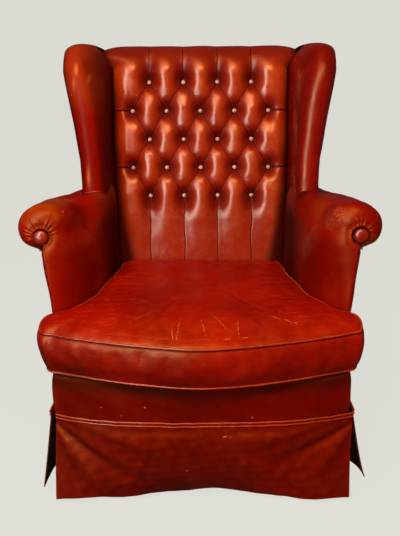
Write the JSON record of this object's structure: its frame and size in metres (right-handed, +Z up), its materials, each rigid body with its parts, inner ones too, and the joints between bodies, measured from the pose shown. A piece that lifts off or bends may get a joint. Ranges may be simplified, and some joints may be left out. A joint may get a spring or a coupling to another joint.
{
  "type": "wing-back club chair",
  "caption": "Worn oxblood leather club chair with wings, a deep-buttoned back, scroll arms, a T-shaped seat cushion and a skirt to the floor.",
  "frame": {"origin": "on the floor, under the middle of the chair's box", "axes": "+Z up, -Y towards the front of the seat, +X to the right of someone who faces the chair"},
  "size_m": [0.8116, 0.8299, 1.033],
  "materials": {
    "oxblood_leather": "glazed, creased and rubbed oxblood hide with fine cracks and scuffs",
    "button_leather": "the same hide rubbed paler on the buttons",
    "frame_timber": "plain sawn hardwood, unfinished inside the covers",
    "stained_leg": "dark stained hardwood",
    "spring_steel": "drawn spring wire",
    "deck_cloth": "black woven lining cloth"
  },
  "bodies": {
    "root": {"back_button_1": "button_leather", "back_button_10": "button_leather", "back_button_11": "button_leather", "back_button_12": "button_leather", "back_button_13": "button_leather", "back_button_14": "button_leather", "back_button_15": "button_leather", "back_button_16": "button_leather", "back_button_17": "button_leather", "back_button_18": "button_leather", "back_button_19": "button_leather", "back_button_2": "button_leather", "back_button_20": "button_leather", "back_button_21": "button_leather", "back_button_22": "button_leather", "back_button_3": "button_leather", "back_button_4": "button_leather", "back_button_5": "button_leather", "back_button_6": "button_leather", "back_button_7": "button_leather", "back_button_8": "button_leather", "back_button_9": "button_leather", "back_lower_rail": "frame_timber", "back_seat_rail": "frame_timber", "back_top_rail": "frame_timber", "dust_cover": "deck_cloth", "front_border": "oxblood_leather", "front_left_leg": "stained_leg", "front_right_leg": "stained_leg", "front_seat_rail": "frame_timber", "inside_back": "oxblood_leather", "left_arm": "oxblood_leather", "left_arm_board": "frame_timber", "left_arm_button": "button_leather", "left_arm_post": "frame_timber", "left_back_post": "frame_timber", "left_outside_arm": "oxblood_leather", "left_seat_rail": "frame_timber", "left_wing": "oxblood_leather", "left_wing_frame": "frame_timber", "outside_back": "oxblood_leather", "right_arm": "oxblood_leather", "right_arm_board": "frame_timber", "right_arm_button": "button_leather", "right_arm_post": "frame_timber", "right_back_post": "frame_timber", "right_outside_arm": "oxblood_leather", "right_seat_rail": "frame_timber", "right_wing": "oxblood_leather", "right_wing_frame": "frame_timber", "seat_cushion": "oxblood_leather", "seat_deck": "deck_cloth", "seat_spring_1": "spring_steel", "seat_spring_2": "spring_steel", "seat_spring_3": "spring_steel", "seat_spring_4": "spring_steel", "skirt_back": "oxblood_leather", "skirt_front": "oxblood_leather", "skirt_left": "oxblood_leather", "skirt_right": "oxblood_leather"}
  },
  "joints": []
}
